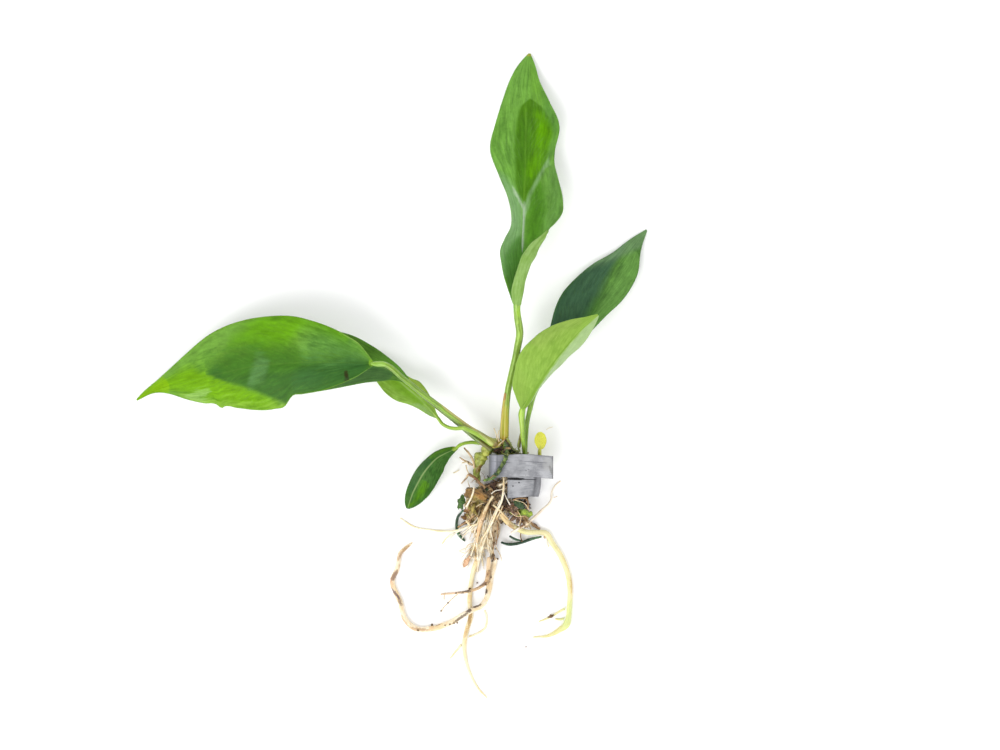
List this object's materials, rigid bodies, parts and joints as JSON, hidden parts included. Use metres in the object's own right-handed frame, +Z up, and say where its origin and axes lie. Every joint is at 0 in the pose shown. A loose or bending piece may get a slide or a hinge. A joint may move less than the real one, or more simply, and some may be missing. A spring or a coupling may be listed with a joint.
{
  "type": "anubias nangi aquarium plant with lead strip weight",
  "caption": "Bare-root water plant lying flat: long-stalked glossy leaves on a short rhizome, a root tangle, and a soft lead strip wound round the root neck.",
  "frame": {"origin": "on the surface that the plant lies on, at the middle of its footprint", "axes": "+X to the right of the lying plant, +Y along its tallest leaf, away from its roots, +Z up"},
  "size_m": [0.1787, 0.2257, 0.0222],
  "materials": {
    "leaf_bright": "fresh green leaf, waxy gloss on the upper face",
    "leaf_dark": "dark green leaf, waxy gloss",
    "leaf_underside": "pale leaf underside, satin",
    "leaf_yellow": "yellowed young leaf, satin",
    "stalk": "juicy stalk, satin",
    "sheath": "dry tan leaf sheath",
    "rhizome": "yellow-green knobbed rhizome, satin",
    "root_ivory": "ivory root, satin",
    "root_tan": "tan root with brown patches, satin",
    "root_brown": "brown old root, dull",
    "root_orange": "orange-tan root, dull",
    "root_yellow": "yellow-green living root, satin",
    "root_clump": "tangle of fine brown and cream roots with dirt, dull",
    "green_strand": "dark green strand of weed, dull",
    "brown_scrap": "rotted leaf scrap, dull",
    "green_scrap": "mossy leaf scrap, dull",
    "lead": "dull soft lead, bent, with fine scratches"
  },
  "bodies": {
    "root": {"leaf_blade_large_left": "leaf_bright", "leaf_blade_middle_left": "leaf_dark", "leaf_blade_lower_left": "leaf_underside", "leaf_blade_small_left": "leaf_dark", "leaf_blade_tall": "leaf_bright", "leaf_blade_far_right": "leaf_dark", "leaf_blade_near_right": "leaf_underside", "leaf_blade_yellow": "leaf_yellow", "leaf_stalk_large_left": "stalk", "leaf_stalk_middle_left": "stalk", "leaf_stalk_lower_left": "stalk", "leaf_stalk_small_left": "stalk", "leaf_stalk_tall": "stalk", "leaf_stalk_near_right": "stalk", "leaf_stalk_far_right": "stalk", "leaf_stalk_yellow": "leaf_yellow", "sheath_of_tall_leaf": "sheath", "sheath_of_right_leaves": "sheath", "rhizome": "rhizome", "rhizome_side_shoot": "rhizome", "hook_root": "root_tan", "centre_root": "root_ivory", "centre_root_branch": "root_ivory", "loop_rootlet": "root_ivory", "brown_root": "root_brown", "right_root": "root_yellow", "right_root_upper_branch": "root_yellow", "right_root_lower_branch": "root_yellow", "root_over_weight": "root_ivory", "short_root_left": "root_ivory", "root_upper_right": "root_tan", "root_upper_right_fork": "root_tan", "long_thin_root_left": "root_ivory", "long_thin_root_left_fork": "root_ivory", "orange_root": "root_orange", "side_root_top": "root_brown", "side_root_middle": "root_brown", "side_root_bottom": "root_brown", "green_strand_left": "green_strand", "green_strand_arc": "green_strand", "green_strand_short": "green_strand", "green_strand_over_weight": "green_strand", "root_clump": "root_clump", "lead_strip_weight": "lead", "brown_leaf_scrap": "brown_scrap", "green_scrap_left": "green_scrap", "green_scrap_upper_right": "green_scrap", "green_scrap_lower_right": "green_scrap", "orange_root_scrap": "root_orange"}
  },
  "joints": []
}
